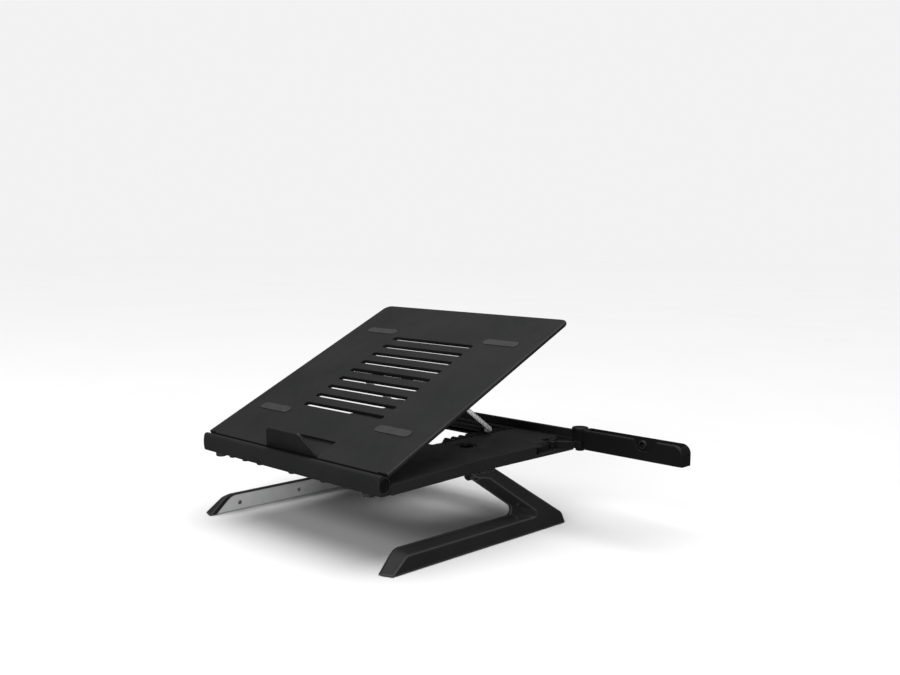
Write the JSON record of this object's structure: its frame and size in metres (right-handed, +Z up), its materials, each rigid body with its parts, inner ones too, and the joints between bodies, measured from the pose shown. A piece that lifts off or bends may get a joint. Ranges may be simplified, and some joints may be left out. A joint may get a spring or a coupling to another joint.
{
  "type": "laptop riser stand",
  "caption": "Folding desktop riser for a laptop: shallow base on two fold-in legs, tilting vented top plate propped by a wire bail, stopper tab and swing-out phone tray.",
  "frame": {"origin": "on the desk, below the middle of the front bar's axis", "axes": "+X to the right, towards the phone tray; +Y to the back; +Z up"},
  "size_m": [0.4112, 0.2768, 0.2069],
  "materials": {
    "black_shell": "fine moulded grain, slightly satin",
    "black_rack": "moulded, a little shinier on the teeth",
    "black_plate": "fine moulded grain, satin on the edges",
    "black_frame": "moulded, matt",
    "black_leg": "fine moulded grain with worn ridges",
    "grey_panel": "matt pale grey",
    "black_arm": "moulded, satin",
    "black_cap": "smooth, slightly glossy",
    "bright_wire": "bright drawn wire",
    "screw_steel": "black zinc",
    "pin_steel": "ground steel",
    "washer_nylon": "dull nylon",
    "soft_rubber": "matt rubber"
  },
  "bodies": {
    "base": {"base_shell": "black_shell", "base_cover": "black_shell", "base_cover_screws": "screw_steel", "base_bumpers": "soft_rubber", "tilt_rack": "black_rack", "rack_teeth": "black_rack", "rack_screws": "screw_steel", "front_hinge_pins": "pin_steel", "front_end_caps": "black_cap", "link_pin": "black_arm", "link_washer": "washer_nylon"},
    "plate": {"plate_skin": "black_plate", "plate_frame": "black_frame", "plate_grip_pads": "soft_rubber", "plate_frame_screws": "screw_steel", "bail_clips": "black_frame", "stopper_pin": "pin_steel"},
    "bail": {"bail": "bright_wire", "bail_sleeve": "black_rack"},
    "stopper": {"stopper_tab": "black_plate", "stopper_pad": "soft_rubber"},
    "right_leg": {"right_leg": "black_leg", "right_leg_panel": "grey_panel", "right_leg_screws": "pin_steel", "right_leg_pin": "screw_steel", "right_foot_pads": "soft_rubber"},
    "left_leg": {"left_leg": "black_leg", "left_leg_panel": "grey_panel", "left_leg_screws": "pin_steel", "left_leg_pin": "screw_steel", "left_foot_pads": "soft_rubber"},
    "arm_link": {"arm_link": "black_arm", "tray_pin": "black_arm", "tray_washer": "washer_nylon"},
    "phone_tray": {"phone_tray": "black_arm", "tray_plug": "soft_rubber", "tray_pad": "soft_rubber"}
  },
  "joints": [
    {"name": "plate_tilt", "type": "hinge", "parent": "base", "child": "plate", "pos_m": [0, 0, 0.0782], "axis": [1, 0, 0], "range_deg": [-23.3, 10.5]},
    {"name": "bail_swing", "type": "hinge", "parent": "plate", "child": "bail", "pos_m": [0, 0.13642, 0.14526], "axis": [-1, 0, 0], "range_deg": [-60, 27.5]},
    {"name": "stopper_flip", "type": "hinge", "parent": "plate", "child": "stopper", "pos_m": [0, 0.00353, 0.08753], "axis": [1, 0, 0], "range_deg": [-90, 0]},
    {"name": "right_leg_fold", "type": "hinge", "parent": "base", "child": "right_leg", "pos_m": [0.1227, 0.1303, 0.0663], "axis": [0, 1, 0], "range_deg": [0, 96.2]},
    {"name": "left_leg_fold", "type": "hinge", "parent": "base", "child": "left_leg", "pos_m": [-0.1227, 0.1303, 0.0663], "axis": [0, -1, 0], "range_deg": [0, 96.2]},
    {"name": "arm_link_swing", "type": "hinge", "parent": "base", "child": "arm_link", "pos_m": [0.125, 0.24, 0.08], "axis": [0, 0, 1], "range_deg": [-50, 0]},
    {"name": "tray_swivel", "type": "hinge", "parent": "arm_link", "child": "phone_tray", "pos_m": [0.146, 0.26, 0.086], "axis": [0, 0, 1], "range_deg": [-40, 90]}
  ],
  "couplings": [
    {"joint": "bail_swing", "follows": "plate_tilt", "ratio": 2.55}
  ]
}
